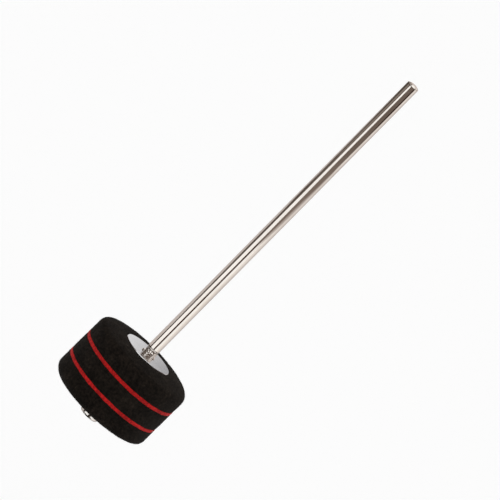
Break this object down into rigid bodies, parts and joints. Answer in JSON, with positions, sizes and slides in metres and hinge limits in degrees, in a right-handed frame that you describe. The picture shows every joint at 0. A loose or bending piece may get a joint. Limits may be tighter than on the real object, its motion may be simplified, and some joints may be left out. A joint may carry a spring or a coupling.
{
  "type": "bass drum beater",
  "caption": "Round striped felt head clamped between wide washers on a slim polished steel shaft, for the beater clamp of a bass drum foot pedal.",
  "frame": {"origin": "centre of the nut's underside, on the shaft's axis", "axes": "+Z along the shaft from the head to the tip, +X through the ears pinched out of the shaft"},
  "size_m": [0.051, 0.051, 0.2076],
  "materials": {
    "polished_rod": "polished",
    "plated_nut": "bright plated",
    "nylon": "moulded nylon",
    "plated_washer": "satin plated",
    "black_felt": "pressed wool felt",
    "red_felt": "pressed wool felt"
  },
  "bodies": {
    "shaft": {"shaft": "polished_rod"},
    "head": {"upper_washer": "plated_washer", "top_felt": "black_felt", "upper_red_felt": "red_felt", "middle_felt": "black_felt", "lower_red_felt": "red_felt", "bottom_felt": "black_felt"},
    "lower_washer": {"lower_washer": "plated_washer"},
    "nut": {"clamp_nut": "plated_nut", "locking_ring": "nylon"}
  },
  "joints": [
    {"name": "head_turn", "type": "hinge", "parent": "shaft", "child": "head", "pos_m": [0, 0, 0.0216], "axis": [0, 0, 1], "continuous": true},
    {"name": "nut_travel", "type": "slide", "parent": "shaft", "child": "lower_washer", "axis": [0, 0, -1], "range_m": [0, 0.0045]},
    {"name": "nut_turn", "type": "hinge", "parent": "lower_washer", "child": "nut", "pos_m": [0, 0, 0.003], "axis": [0, 0, -1], "range_deg": [0, 1625]}
  ],
  "couplings": [
    {"joint": "nut_turn", "follows": "nut_travel", "rad_per_m": 6283.2}
  ]
}
